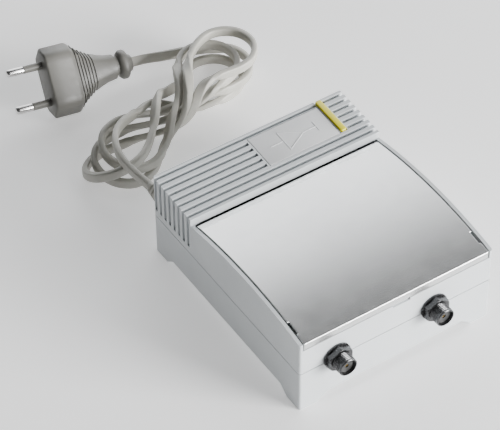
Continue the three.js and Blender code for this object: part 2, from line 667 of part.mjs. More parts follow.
// ---- assembly ----
place('upper_shell', upperShell(), silverPlastic);
place('lower_shell', lowerShell(), silverPlastic);
place('cover_panel', coverPanel(), coverSilver);
place('hinge_pin_left', hingePin(-1), zincSteel);
place('hinge_pin_right', hingePin(1), zincSteel);
place('name_plate', namePlate(), palePlastic);
place('indicator_bar', indicatorBar(), yellowBar);

for (const [port, x] of [['input', SOCKET_X[0]], ['output', SOCKET_X[1]]]) {
  place(`${port}_socket_body`, socketBody(x), darkNickel);
  place(`${port}_socket_insulator`, socketInsulator(x), greyInsulator);
  place(`${port}_socket_contact`, socketContact(x), brass);
  place(`${port}_socket_washer`, socketWasher(x), darkNickel);
  place(`${port}_socket_nut`, socketNut(x), darkNickel);
}

place('circuit_board', circuitBoard(), boardGreen);
place('screening_can', screeningCan(), tinPlate);
place('screening_lid', screeningLid(), tinPlate);
place('level_adjuster_body', adjusterBody(), blackPackage);
place('level_adjuster_rotor', adjusterRotor(), adjusterWhite);
place('transformer_core', transformerCore(), coreSteel);
place('transformer_coil', transformerCoil(), coilTape);
place('smoothing_capacitor', canCapacitor(36, 6, 5, 16), capacitorSleeve);
place('filter_capacitor', canCapacitor(-40, -14, 3.2, 11), capacitorSleeve);
place('bridge_rectifier', box(12, 24, 6, 12, BOARD_TOP_Z + GAP, 22), blackPackage);
place('voltage_regulator', regulator(), blackPackage);
place('mains_fuse', fuse(), fuseGlass);
place('fuse_holder', fuseHolder(), blackPackage);
place('led_post', ledPost(), blackPackage);
place('indicator_led', indicatorLed(), ledYellow);
place('cord_clamp', cordClamp(), blackPackage);
place('clamp_screw_left', clampScrew(-47.6), zincSteel);
place('clamp_screw_right', clampScrew(-38), zincSteel);

SCREW_Y.forEach((y, row) => {
  [-SCREW_X, SCREW_X].forEach((x, column) => {
    place(`housing_screw_${row * 2 + column + 1}`, housingScrew(x, y), zincSteel);
  });
});
boardPostPlaces().forEach(([x, y], i) => {
  place(`board_screw_${i + 1}`, boardScrew(x, y), zincSteel);
});

place('strain_relief', strainRelief(), greyCord);
place('cord_lead', cordTube(LEAD_ROUTE), greyCord);
place('cord_hank', cordHank(), greyCord);
place('cord_tail', cordTube(TAIL_ROUTE), greyCord);

const plug = plugGroup();
place('plug_body', plugBody(), plugGrey, plug);
[-1, 1].forEach((side, i) => {
  place(`plug_pin_${i + 1}`, plugPin(side * PIN_SPACING / 2), nickelPin, plug);
  place(`pin_sleeve_${i + 1}`, pinSleeve(side * PIN_SPACING / 2), plugGrey, plug);
});

export default model;
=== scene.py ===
# %% [markdown]
# # A mains-fed coaxial signal booster
# The booster is a flat two-part plastic box. A ribbed deck at the back keeps its transformer cool, a
# crowned silver cover at the front tips up, two threaded coaxial sockets stand out of the front wall, and a
# flat twin mains lead, folded into a hank, ends in a flat two-pin plug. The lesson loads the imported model
# as a fixed frame and then makes or dresses each piece in that frame. Lengths are written in millimetres
# and turned into metres once, when a piece is finished.

# %% Load the frame
import math
import bpy
import bmesh
from mathutils import Matrix, Vector


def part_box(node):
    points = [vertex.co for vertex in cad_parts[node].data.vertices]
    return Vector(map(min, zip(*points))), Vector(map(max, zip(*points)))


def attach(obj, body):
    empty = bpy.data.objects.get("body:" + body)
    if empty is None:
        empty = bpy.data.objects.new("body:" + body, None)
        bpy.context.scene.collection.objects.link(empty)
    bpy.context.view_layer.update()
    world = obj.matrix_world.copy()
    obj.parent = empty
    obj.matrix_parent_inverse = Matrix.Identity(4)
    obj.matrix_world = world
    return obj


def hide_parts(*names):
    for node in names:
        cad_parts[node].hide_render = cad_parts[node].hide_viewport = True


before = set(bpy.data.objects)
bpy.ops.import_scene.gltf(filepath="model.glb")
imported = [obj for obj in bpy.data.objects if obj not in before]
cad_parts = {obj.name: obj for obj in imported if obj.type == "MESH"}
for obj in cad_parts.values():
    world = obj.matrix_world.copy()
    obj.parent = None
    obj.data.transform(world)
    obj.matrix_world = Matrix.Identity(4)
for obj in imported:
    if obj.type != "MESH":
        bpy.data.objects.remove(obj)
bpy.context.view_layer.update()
MM = 0.001
QUARTER_TURN = math.pi / 2
scene = bpy.context.scene

# %% [markdown]
# ## Camera
# A long lens, well back, keeps the box's edges nearly parallel. The camera is placed by what it looks at,
# the two angles it looks from, its distance and a slight roll, so each can be changed without upsetting the
# others.

# %% Camera
CAMERA_TARGET = Vector((-13.33, 42.76, 18.91)) * MM
CAMERA_AZIMUTH = math.radians(-32.9)
CAMERA_ELEVATION = math.radians(45.34)
CAMERA_ROLL = math.radians(-0.68)
CAMERA_DISTANCE = 1193.1 * MM
CAMERA_LENS = 185.08

level = math.cos(CAMERA_ELEVATION)
back = Vector((math.sin(CAMERA_AZIMUTH) * level, -math.cos(CAMERA_AZIMUTH) * level,
               math.sin(CAMERA_ELEVATION)))
right = Vector((0, 0, 1)).cross(back).normalized()
up = back.cross(right)
turn = Matrix.Rotation(CAMERA_ROLL, 3, back)
camera_data = bpy.data.cameras.new("camera")
camera_data.lens = CAMERA_LENS
camera_data.sensor_width = 36
camera_data.clip_end = 20
camera = bpy.data.objects.new("camera", camera_data)
axes = Matrix([turn @ right, turn @ up, back]).transposed()
camera.matrix_world = Matrix.Translation(CAMERA_TARGET + back * CAMERA_DISTANCE) @ axes.to_4x4()
scene.collection.objects.link(camera)
scene.camera = camera
print("camera at", [round(v, 4) for v in camera.location])

# %% [markdown]
# ## Finishing a piece
# Each piece starts as a bmesh in millimetres. The finishing step scales it to metres, points its faces
# outwards, shades it smooth except at its sharp edges, and lets it ride on a body of the frame. An edge is
# sharp where its two faces turn by more than the given angle.

# %% Finish a piece
def close_up(bm, merge=0.001):
    bmesh.ops.remove_doubles(bm, verts=bm.verts, dist=merge)
    bmesh.ops.recalc_face_normals(bm, faces=bm.faces)
    return bm


def finish_piece(bm, name, body, material, sharp=35, bevel=0.0, segments=2, closed=False):
    if not closed:
        close_up(bm)
    bmesh.ops.scale(bm, vec=(MM, MM, MM), verts=bm.verts)
    mesh = bpy.data.meshes.new(name)
    bm.to_mesh(mesh)
    bm.free()
    mesh.shade_smooth()
    mesh.set_sharp_from_angle(angle=math.radians(sharp))
    piece = bpy.data.objects.new(name, mesh)
    scene.collection.objects.link(piece)
    mesh.materials.append(material)
    if bevel:
        edge = piece.modifiers.new("soft_edges", "BEVEL")
        edge.width = bevel * MM
        edge.segments = segments
        edge.limit_method = "ANGLE"
        edge.angle_limit = math.radians(sharp)
        edge.use_clamp_overlap = False
        edge.harden_normals = True
    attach(piece, body)
    print(name, len(mesh.vertices), "vertices,", len(mesh.polygons), "faces")
    return piece


def swing(bm, angle, axis):
    bmesh.ops.rotate(bm, verts=bm.verts, cent=(0, 0, 0), matrix=Matrix.Rotation(angle, 3, axis))


def move(bm, by):
    bmesh.ops.translate(bm, verts=bm.verts, vec=by)


def turned(profile, steps=32):
    bm = bmesh.new()
    verts = [bm.verts.new((radius, 0, along)) for radius, along in profile]
    edges = [bm.edges.new(pair) for pair in zip(verts, verts[1:])]
    bmesh.ops.spin(bm, geom=verts + edges, cent=(0, 0, 0), axis=(0, 0, 1), angle=math.tau, steps=steps,
                   use_merge=True)
    bmesh.ops.remove_doubles(bm, verts=bm.verts, dist=0.0005)
    return bm


print("lengths are drawn in millimetres and finished at a scale of", MM)


# %% [markdown]
# ## Finishes
# Moulded plastic is never one flat colour: the pigment drifts a little, the tool leaves a fine grain, and
# handling polishes it unevenly. Each finish mixes two close colours with a slow noise, varies the roughness
# with a second noise, and lifts a fine grain with a bump. The patterns read Object coordinates, so they
# stay put on a piece.

# %% A finish made of three noises
def noise(nodes, links, coords, scale, detail=2.0):
    node = nodes.new("ShaderNodeTexNoise")
    node.inputs["Scale"].default_value = scale
    node.inputs["Detail"].default_value = detail
    links.new(coords, node.inputs["Vector"])
    return node.outputs["Fac"]


def spread(nodes, links, source, low, high):
    node = nodes.new("ShaderNodeMapRange")
    node.inputs["From Min"].default_value = 0.3
    node.inputs["From Max"].default_value = 0.7
    node.inputs["To Min"].default_value = low
    node.inputs["To Max"].default_value = high
    links.new(source, node.inputs["Value"])
    return node.outputs["Result"]


def make_finish(name, light, dark, rough=(0.4, 0.5), metal=0.0, drift=60, grain=2600, lift=0.02, coat=0.0,
                stretch=(1, 1, 1)):
    material = bpy.data.materials.new(f"{name}_finish")
    material.use_nodes = True
    nodes, links = material.node_tree.nodes, material.node_tree.links
    shader = nodes["Principled BSDF"]
    coords = nodes.new("ShaderNodeTexCoord")
    mapping = nodes.new("ShaderNodeMapping")
    mapping.inputs["Scale"].default_value = stretch
    links.new(coords.outputs["Object"], mapping.inputs["Vector"])
    place = mapping.outputs["Vector"]
    colours = nodes.new("ShaderNodeMix")
    colours.data_type = "RGBA"
    colours.inputs["A"].default_value = (*dark, 1)
    colours.inputs["B"].default_value = (*light, 1)
    links.new(spread(nodes, links, noise(nodes, links, place, drift, 3), 0, 1), colours.inputs["Factor"])
    links.new(colours.outputs["Result"], shader.inputs["Base Color"])
    polish = noise(nodes, links, place, drift * 5, 3)
    links.new(spread(nodes, links, polish, *rough), shader.inputs["Roughness"])
    bump = nodes.new("ShaderNodeBump")
    bump.inputs["Strength"].default_value = 1.0
    bump.inputs["Distance"].default_value = lift * MM
    links.new(noise(nodes, links, place, grain, 2), bump.inputs["Height"])
    links.new(bump.outputs["Normal"], shader.inputs["Normal"])
    shader.inputs["Metallic"].default_value = metal
    shader.inputs["Coat Weight"].default_value = coat
    shader.inputs["Coat Roughness"].default_value = 0.15
    return material


def grey(value, warm=0.0):
    return (value * (1 + warm), value, value * (1 - warm))


print("a finish takes two close colours, and a range of roughness")


# %% [markdown]
# ## The mains lead
# The lead is a flat twin cord, 5 mm wide and 3.2 mm thick. It leaves the box through a strain relief low on
# the back wall, rises over the hank's left end, and joins it. The hank is a long coil of four turns with
# half a twist in it, so the turns cross near its waist and stand open at both ends. It could be wound by
# hand, point by point, but then a change in one turn runs into the next. Here a few measures place every
# turn: each keeps to its own level of the stack, and its flat side leans over where the twist is steepest,
# which is what stops a real coil from passing through itself. The folds are a little uneven in length and
# place, as hand-wound folds are. The last turn leaves low at the back for the plug.

# %% Measures of the lead
CORD_WIDTH = 5.0
CORD_THICK = 3.2
CORD_EXIT = Vector((-43.5, 64.4, 22))
HANK_CENTRE = Vector((-1, 132, 0))
HANK_TURN = math.radians(20.5)
FOLD_RADIUS = 14.6
WAIST = 3.5
WAIST_BLEND = 35.0
TURN_PITCH = 5.35
TWIST_CENTRE = 2.0
TWIST_HALF = 26.0
LEAN_POWER = 0.6
HANK_MID_Z = 10.55
LIFT = 1.6
LEAD_JOINS = -19.0
LEAVES_FOLD = math.radians(134.5)
LEVELS = (3, 0, 1, 2)
RIGHT_FOLD = {3: 37.0, 0: 43.0, 1: 34.5, 2: 41.0}
RIGHT_SHIFT = {3: -2.0, 0: 1.5, 1: -3.0, 2: 0.0}
LEFT_FOLDS = (44.0, 37.0, 31.0)
FIRST_REACH = 43.0
HANK_LOOK = 40.0
BUMP_REACH = 13.0
BUMP_WIDTH = 10.0
SHIFT_STARTS = 10.0
along = Vector((math.cos(HANK_TURN), math.sin(HANK_TURN), 0))
across = Vector((-math.sin(HANK_TURN), math.cos(HANK_TURN), 0))
stack_height = (len(LEVELS) - 1) * TURN_PITCH + CORD_WIDTH
print("hank of", len(LEVELS), "turns, stacked", round(stack_height, 1), "mm high")


def level_rise(level):
    return (level - 1.5) * TURN_PITCH


def ease(t):
    t = min(max(t, 0), 1)
    return 0.5 - 0.5 * math.cos(math.pi * t)


# %% [markdown]
# ## One turn, and one fold
# Along the hank, u runs from the left fold to the right one, and the two strands of a turn lie on either
# side of the middle line. The twist turns that pair, and the stack of levels with it, by half a turn. Past
# each end, a strand goes round a half circle and comes back on the other side.

# %% Where a turn of the hank lies
def hank_point(u, side, level, left_fold):
    t = min(max((u - TWIST_CENTRE + TWIST_HALF) / (2 * TWIST_HALF), 0), 1)
    twist = -math.pi * ease(t)
    opened = ease((u - RIGHT_FOLD[level]) / WAIST_BLEND + 1) + ease((-u - left_fold) / WAIST_BLEND + 1)
    shifted = ease((u - SHIFT_STARTS) / (RIGHT_FOLD[level] - SHIFT_STARTS))
    half = side * (WAIST + (FOLD_RADIUS - WAIST) * opened) + RIGHT_SHIFT[level] * shifted
    rise = level_rise(level)
    bump = sum(math.exp(-((u - TWIST_CENTRE + reach) / BUMP_WIDTH) ** 2)
               for reach in (-BUMP_REACH, BUMP_REACH))
    v = half * math.cos(twist) - rise * math.sin(twist)
    z = HANK_MID_Z + LIFT * bump + half * math.sin(twist) + rise * math.cos(twist)
    lean = twist + QUARTER_TURN * math.sin(math.pi * t) ** LEAN_POWER
    width = across * -math.sin(lean) + Vector((0, 0, math.cos(lean)))
    return HANK_CENTRE + along * u + across * v + Vector((0, 0, z)), width


def fold_point(end, angle, reach, shift, rise_from, rise_to):
    rise = rise_from + (rise_to - rise_from) * ease(angle / math.pi)
    u = end * (reach + FOLD_RADIUS * math.sin(angle))
    v = -FOLD_RADIUS * math.cos(angle) + shift
    z = HANK_MID_Z + (rise if end < 0 else -rise)
    return HANK_CENTRE + along * u + across * v + Vector((0, 0, z)), Vector((0, 0, -end))


def run(start, stop, steps):
    return [start + (stop - start) * i / steps for i in range(steps + 1)]


top_of_hank, _ = hank_point(-HANK_LOOK, 1, LEVELS[0], FIRST_REACH)
print("the first turn lies", round(top_of_hank.z, 1), "mm up near its left fold")


# %% [markdown]
# ## The whole line
# The free stretches before and after the hank are smooth lines through a few points. Joined to the turns
# and folds they make one line, with the direction of the cord's width carried along at every point. The
# line is then stepped off evenly, so that every ring of the swept cord is equally far from the next.

# %% The whole line of the lead, from the box to the plug
def smooth_line(points, per_span=10):
    line = []
    ends = [points[0] * 2 - points[1]] + points + [points[-1] * 2 - points[-2]]
    for a, b, c, d in zip(ends, ends[1:], ends[2:], ends[3:]):
        for i in range(per_span):
            t = i / per_span
            line.append(0.5 * ((2 * b) + (c - a) * t + (2 * a - 5 * b + 4 * c - d) * t ** 2
                               + (3 * b - a - 3 * c + d) * t ** 3))
    return line + [points[-1]]


LEAD_POINTS = [(-43.5, 79, 22), (-43.5, 82.5, 22.05), (-44.7, 90, 22.5), (-45.7, 97, 23.2),
               (-45.6, 104, 23.7), (-44.2, 110, 23.7), (-41.2, 117, 23.1), (-36.5, 123.2, 21.9),
               (-30.6, 127.6, 20.6),
               (-25, 129.9, 19.5)]
TAIL_POINTS = [(38.6, 162.5, 8.0), (31.6, 165.3, 8.0), (24, 167.8, 8.0), (16.4, 169.9, 8.3),
               (8.8, 171.6, 9.2), (-0.6, 172.65, 10.36)]
UP = Vector((0, 0, 1))
PLUG_YAW, PLUG_PITCH, PLUG_ROLL = math.radians(176), math.radians(8), math.radians(-48)
PLUG_AXIS = Vector((math.cos(PLUG_PITCH) * math.cos(PLUG_YAW), math.cos(PLUG_PITCH) * math.sin(PLUG_YAW),
                    math.sin(PLUG_PITCH)))
PLUG_ACROSS = Matrix.Rotation(PLUG_ROLL, 3, PLUG_AXIS) @ UP.cross(PLUG_AXIS).normalized()
PLUG_THICK = PLUG_AXIS.cross(PLUG_ACROSS)

joined, _ = hank_point(LEAD_JOINS, 1, LEVELS[0], FIRST_REACH)
stations = [(p, UP) for p in smooth_line([Vector(p) for p in LEAD_POINTS] + [joined])[:-1]]
left_reach = FIRST_REACH
for number, level in enumerate(LEVELS):
    rise, shift = level_rise(level), -RIGHT_SHIFT[level]
    first_u = LEAD_JOINS if number == 0 else -left_reach
    stations += [hank_point(u, 1, level, left_reach) for u in run(first_u, RIGHT_FOLD[level], 60)]
    last = number == len(LEVELS) - 1
    stop = LEAVES_FOLD if last else math.pi
    stations += [fold_point(1, a, RIGHT_FOLD[level], shift, rise, rise) for a in run(0, stop, 34)]
    if not last:
        left_reach = LEFT_FOLDS[number]
        stations += [hank_point(u, -1, level, left_reach) for u in run(RIGHT_FOLD[level], -left_reach, 60)]
        next_rise = level_rise(LEVELS[number + 1])
        stations += [fold_point(-1, a, left_reach, 0, rise, next_rise) for a in run(0, math.pi, 34)]
left_fold, _ = stations[-1]
tail = smooth_line([left_fold] + [Vector(p) for p in TAIL_POINTS])
for i, p in enumerate(tail[1:], 1):
    stations.append((p, (-UP).lerp(PLUG_ACROSS, min(1, 1.1 * i / len(tail)))))


# %% Even spacing along the line
def evenly(stations, spacing):
    kept = [stations[0]]
    for (p, width), (q, other) in zip(stations, stations[1:]):
        gap = (q - kept[-1][0]).length
        while gap >= spacing:
            start = kept[-1][0]
            point = start + (q - start) * (spacing / gap)
            kept.append((point, width.lerp(other, 0.5)))
            gap = (q - point).length
    return kept


lead_line = evenly(stations, 1.5)

# %% [markdown]
# A flat lead is swept as a ring of points along its line. Each ring is turned by the direction of its
# width, which follows the hank's twist, so the flat sides lie where a real flat lead's sides lie. The ring
# starts as a circle and is pressed into a flat shape with round edges.

# %% Sweep the flat section along the line
def flat_section(width, thick, count=20):
    points = []
    for i in range(count):
        c, s = math.cos(math.tau * i / count), math.sin(math.tau * i / count)
        points.append((math.copysign(abs(c) ** 0.5, c) * width / 2,
                       math.copysign(abs(s) ** 0.4, s) * thick / 2))
    return points


def sweep_flat(line, width, thick):
    bm = bmesh.new()
    rings = []
    section = flat_section(width, thick)
    for i, (point, wide) in enumerate(line):
        ahead = (line[min(i + 2, len(line) - 1)][0] - line[max(i - 2, 0)][0]).normalized()
        wide = (wide - ahead * wide.dot(ahead)).normalized()
        thin = ahead.cross(wide)
        rings.append([bm.verts.new(point + wide * a + thin * b) for a, b in section])
    for ring, following in zip(rings, rings[1:]):
        for i in range(len(ring)):
            j = (i + 1) % len(ring)
            bm.faces.new((ring[i], ring[j], following[j], following[i]))
    bm.faces.new(rings[0][::-1])
    bm.faces.new(rings[-1])
    return bm


cord_grey = make_finish("cord_grey", (0.44, 0.43, 0.385), (0.37, 0.36, 0.32), rough=(0.38, 0.5), drift=90,
                        grain=1800, lift=0.03)
mains_lead = finish_piece(sweep_flat(lead_line, CORD_WIDTH, CORD_THICK), "mains_lead", "housing",
                          cord_grey, sharp=80)
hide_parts("cord_lead", "cord_hank", "cord_tail")

# %% [markdown]
# ## Strain relief
# A soft sleeve keeps the lead from being bent hard where it leaves the wall. It is turned as a tapering
# profile with five cuts, then pressed flat towards its tip, because the lead in it is flat.

# %% Strain relief
RELIEF_LENGTH = 17.6
relief_profile = [(0.0, -4.6), (5.0, -4.6), (5.0, -3.4), (3.7, -3.4), (3.7, 0.3), (4.8, 0.3), (4.8, 1.7),
                  (4.3, 2.1)]
for i in range(5):
    y = 3.0 + i * 2.7
    radius = 4.25 - 1.1 * y / RELIEF_LENGTH
    relief_profile += [(radius, y), (radius - 0.75, y + 0.3), (radius - 0.8, y + 1.0),
                       (radius - 0.05, y + 1.3)]
relief_profile += [(3.15, RELIEF_LENGTH - 0.5), (2.9, RELIEF_LENGTH), (0.0, RELIEF_LENGTH)]
relief = turned(relief_profile, steps=36)
swing(relief, -QUARTER_TURN, "X")
for vert in relief.verts:
    press = min(max(vert.co.y / RELIEF_LENGTH, 0), 1)
    vert.co.x *= 1 - 0.32 * press
move(relief, CORD_EXIT)
strain_relief = finish_piece(relief, "lead_relief", "housing", cord_grey, sharp=40)
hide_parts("strain_relief")

# %% [markdown]
# ## The plug
# A flat two-pin plug is moulded round its pins and its lead in one shot. Its face is a long hexagon. Behind
# the block it flares down to a neck, with thumb grooves where the flare begins, a slot that lets the neck
# bend, and a collar to pull by. It is drawn out of one ring of points: each station is an extrusion of the
# last, set to the half width, half flat, half thickness and roundness given for it.

# %% Draw a ring out through stations
def drawn_out(levels, ring_point, count=48):
    bm = bmesh.new()
    turn_of = bm.verts.layers.float.new("turn")
    ring = list(bmesh.ops.create_circle(bm, cap_ends=False, segments=count, radius=1)["verts"])
    for vert in ring:
        vert[turn_of] = math.atan2(vert.co.y, vert.co.x)
    edges = list(bm.edges)
    for number, station in enumerate(levels):
        if number:
            grown = bmesh.ops.extrude_edge_only(bm, edges=edges)["geom"]
            ring = [g for g in grown if isinstance(g, bmesh.types.BMVert)]
            fresh = set(ring)
            edges = [g for g in grown if isinstance(g, bmesh.types.BMEdge) and set(g.verts) <= fresh]
        for vert in ring:
            vert.co = ring_point(vert[turn_of], *station[1:]) + Vector((0, 0, station[0]))
    bmesh.ops.holes_fill(bm, edges=bm.edges, sides=0)
    return bm


# %% Plug body
PLUG_FACE = Vector((-45.6, 175.8, 16.7))
PLUG_FRAME = Matrix([PLUG_ACROSS, PLUG_THICK, PLUG_AXIS]).transposed().to_4x4()


def plug_ring(angle, half_width, half_flat, half_thick, roundness):
    c, s = math.cos(angle), math.sin(angle)
    ellipse = Vector((c * half_width, s * half_thick, 0))
    slant = abs(c) / half_width + abs(s) * (1 - half_flat / half_width) / half_thick
    reach = 1 / max(abs(s) / half_thick, slant)
    hexagon = Vector((c * reach, s * reach, 0))
    return hexagon.lerp(ellipse, roundness)


plug_stations = [(0.0, 16.3, 12.2, 6.1, 0.0), (-0.35, 17.2, 12.8, 6.6, 0.0), (-1.0, 17.65, 13.05, 6.85, 0.0),
                 (-7.0, 17.65, 13.05, 6.85, 0.0), (-13.6, 17.65, 13.05, 6.85, 0.0),
                 (-14.6, 17.3, 12.8, 6.7, 0.05)]
GROOVES, GROOVE_START, GROOVE_STEP = 6, -15.6, 1.75
for i in range(GROOVES):
    z = GROOVE_START - i * GROOVE_STEP
    t = i / (GROOVES - 1)
    half = 16.6 - 6.4 * t ** 0.8
    thick = 6.45 - 1.2 * t
    flat = half * (0.74 - 0.2 * t)
    cut_half, cut_thick = half - 0.75, thick - 0.7
    round_off = 0.1 + 0.3 * t
    plug_stations += [(z, half, flat, thick, round_off),
                      (z - 0.3, cut_half, flat * 0.95, cut_thick, round_off),
                      (z - 0.75, cut_half - 0.2, flat * 0.94, cut_thick, round_off),
                      (z - 1.05, half - 0.75, flat * 0.97, thick - 0.15, round_off)]
plug_stations += [(-27.0, 8.9, 4.4, 4.95, 0.5), (-29.5, 7.9, 3.9, 4.7, 0.6), (-33.0, 6.9, 3.4, 4.4, 0.7),
                  (-37.6, 6.2, 3.0, 4.2, 0.8), (-38.0, 4.9, 2.4, 3.1, 0.9), (-39.5, 4.9, 2.4, 3.1, 0.9),
                  (-39.9, 6.3, 3.0, 4.3, 0.8), (-40.8, 7.1, 3.4, 4.9, 0.7), (-41.4, 7.4, 3.6, 5.2, 0.7),
                  (-43.6, 7.4, 3.6, 5.2, 0.7), (-44.3, 7.0, 3.4, 4.8, 0.7), (-44.7, 4.6, 2.3, 3.4, 0.8),
                  (-46.6, 4.3, 2.2, 3.1, 0.8), (-47.0, 3.9, 2.0, 2.8, 0.8)]
plug_shape = drawn_out(plug_stations, plug_ring)
bmesh.ops.transform(plug_shape, matrix=Matrix.Translation(PLUG_FACE) @ PLUG_FRAME, verts=plug_shape.verts)
plug_grey = make_finish("plug_grey", (0.165, 0.162, 0.146), (0.14, 0.136, 0.122), rough=(0.35, 0.48),
                        drift=70, grain=2200, lift=0.02)
moulded_plug = finish_piece(plug_shape, "moulded_plug", "housing", plug_grey, sharp=38)
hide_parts("plug_body")

# %% [markdown]
# The pins are brass turned and plated with nickel. Each has a moulded sleeve over its inner half, so no
# bare metal can be touched while the plug is being pushed in, and a rounded tip.

# %% Pins and sleeves
PIN_SPACING = 18.6
pin_profile = [(0.0, -8.5), (1.3, -8.5), (1.3, 9.9), (1.75, 10.0), (1.98, 10.15), (2.0, 10.4), (2.0, 17.6),
               (1.92, 18.1), (1.65, 18.55), (1.2, 18.85), (0.6, 18.98), (0.0, 19.0)]
sleeve_profile = [(1.6, -8.0), (1.95, -8.0), (1.95, 0.1), (1.93, 0.3), (1.9, 9.4), (1.86, 9.8), (1.75, 9.9),
                  (1.6, 9.9), (1.6, -8.0)]
nickel_pin = make_finish("nickel_pin", grey(0.72, 0.01), grey(0.6, 0.02), rough=(0.12, 0.26), metal=1.0,
                         drift=180, grain=3500, lift=0.004)
for number, x in enumerate((-PIN_SPACING / 2, PIN_SPACING / 2), 1):
    for node, profile, slot, material in (("plug_pin", pin_profile, "nickel_pin", nickel_pin),
                                          ("pin_sleeve", sleeve_profile, "plug_grey", plug_grey)):
        shape = turned(profile, steps=32)
        place = Matrix.Translation(PLUG_FACE) @ PLUG_FRAME @ Matrix.Translation((x, 0, 0))
        bmesh.ops.transform(shape, matrix=place, verts=shape.verts)
        piece = finish_piece(shape, f"{node}_turned_{number}", "housing", material, sharp=45)
        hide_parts(f"{node}_{number}")

# %% [markdown]
# ## The plastic of the two housing shells
# Both shells are injection moulded, with walls of 2.2 mm. Their outlines, ribs, feet and openings are
# already right in the frame, with the flat walls and crisp ribs of the moulding, so both keep their shape
# and only take a finish. It is a silver-filled plastic: mostly matt, with a little metal flake in it.

# %% Housing plastic
silver_plastic = make_finish("silver_plastic", (0.58, 0.605, 0.615), (0.54, 0.565, 0.58), rough=(0.3, 0.4),
                             metal=0.12, drift=40, grain=3000, lift=0.008)

# %% Sloping deck helpers
STEP_Y = 32.4
STEP_TOP_Z = 45.9
BACK_Y = 64.4
BACK_TOP_Z = 47.6
DECK_RISE = (BACK_TOP_Z - STEP_TOP_Z) / (BACK_Y - STEP_Y)


def on_deck(bm):
    swing(bm, math.atan(DECK_RISE), "X")
    move(bm, (0, STEP_Y, STEP_TOP_Z))
    return bm


def slab(left, right_side, front, rear, low, high, corner=0.0, edge=0.0):
    bm = bmesh.new()
    bmesh.ops.create_cube(bm, size=1)
    bmesh.ops.scale(bm, vec=(right_side - left, rear - front, high - low), verts=bm.verts)
    move(bm, ((left + right_side) / 2, (front + rear) / 2, (low + high) / 2))
    if corner:
        posts = [e for e in bm.edges if abs(e.verts[0].co.z - e.verts[1].co.z) > (high - low) / 2]
        bmesh.ops.bevel(bm, geom=posts, offset=corner, segments=6, profile=0.5, affect="EDGES",
                        material=-1)
    if edge:
        rims = [e for e in bm.edges if e.verts[0].co.z > high - 1e-4 and e.verts[1].co.z > high - 1e-4]
        bmesh.ops.bevel(bm, geom=rims, offset=edge, segments=3, profile=0.5, affect="EDGES",
                        material=-1)
    return bm


print("deck slopes by", round(math.degrees(math.atan(DECK_RISE)), 2), "degrees")


def add_to(bm, other):
    mesh = bpy.data.meshes.new("part")
    other.to_mesh(mesh)
    other.free()
    bm.from_mesh(mesh)
    bpy.data.meshes.remove(mesh)
    return bm


# %% [markdown]
# ## The cover
# The cover is a thin crowned panel with a turned-down front lip, three stiffening ribs and two hinge ears.
# Its top is sprayed silver and glossier than the housing. The crown is one straight edge spun through a
# shallow arc about an axis far below the box, so it is as smooth as the real moulding. The front edge is
# drawn down into the lip, planes cut the finger notches at the sides, and the back row is lowered a little
# for the soft sloping margin.

# %% Crown measures
COVER_HALF = 49.6
COVER_BACK_Y = 31.2
COVER_FRONT_Y = -55.0
COVER_EDGE_Z = 42.2
COVER_CROWN = 4.3
COVER_THICKNESS = 1.4
COVER_LIP_Z = 38.4
COVER_SOFTNESS = 0.35
NOTCH_X = 48.7
NOTCH_FRONT_Y = -49
NOTCH_BACK_Y = -42
MARGIN_Y = 30.9
MARGIN_DROP = 0.5
HINGE_Y = 28.8
HINGE_Z = 40.2
crown_y = (COVER_BACK_Y + COVER_FRONT_Y) / 2
half_run = (COVER_BACK_Y - COVER_FRONT_Y) / 2
crown_radius = (half_run ** 2 + COVER_CROWN ** 2) / (2 * COVER_CROWN)
crown_axis = Vector((0, crown_y, COVER_EDGE_Z + COVER_CROWN - crown_radius))
half_angle = math.asin(half_run / crown_radius)
print("crown radius", round(crown_radius, 1), "mm over", round(math.degrees(2 * half_angle), 1), "degrees")


def on_crown(angle, drop=0.0):
    reach = crown_radius - drop
    return crown_axis.y + reach * math.sin(angle), crown_axis.z + reach * math.cos(angle)


# %% Cover panel
cover_shape = bmesh.new()
rear_y, rear_z = on_crown(half_angle)
rear_ends = [cover_shape.verts.new((x, rear_y, rear_z)) for x in (-COVER_HALF, COVER_HALF)]
rear_edge = cover_shape.edges.new(rear_ends)
bmesh.ops.spin(cover_shape, geom=list(rear_edge.verts) + [rear_edge], cent=crown_axis, axis=(1, 0, 0),
               angle=2 * half_angle, steps=48)
front_edge = min(cover_shape.edges, key=lambda e: e.verts[0].co.y + e.verts[1].co.y)
lip = bmesh.ops.extrude_edge_only(cover_shape, edges=[front_edge])["geom"]
for vert in [g for g in lip if isinstance(g, bmesh.types.BMVert)]:
    vert.co.z = COVER_LIP_Z
for point, normal in (((0, 28.2, 0), (0, 1, 0)), ((0, NOTCH_BACK_Y, 0), (0, 1, 0)),
                      ((0, NOTCH_FRONT_Y, 0), (0, 1, 0)), ((NOTCH_X, 0, 0), (1, 0, 0)),
                      ((-NOTCH_X, 0, 0), (1, 0, 0))):
    everything = cover_shape.verts[:] + cover_shape.edges[:] + cover_shape.faces[:]
    bmesh.ops.bisect_plane(cover_shape, geom=everything, plane_co=point, plane_no=normal)
middles = [(f, f.calc_center_median()) for f in cover_shape.faces]
notches = [f for f, middle in middles if abs(middle.x) > NOTCH_X and NOTCH_FRONT_Y < middle.y < NOTCH_BACK_Y]
bmesh.ops.delete(cover_shape, geom=notches, context="FACES")
for vert in cover_shape.verts:
    if vert.co.y > MARGIN_Y:
        vert.co.z -= MARGIN_DROP
bmesh.ops.recalc_face_normals(cover_shape, faces=cover_shape.faces)
if sum(f.normal.z for f in cover_shape.faces) < 0:
    bmesh.ops.reverse_faces(cover_shape, faces=cover_shape.faces)
bmesh.ops.solidify(cover_shape, geom=cover_shape.faces[:], thickness=COVER_THICKNESS)

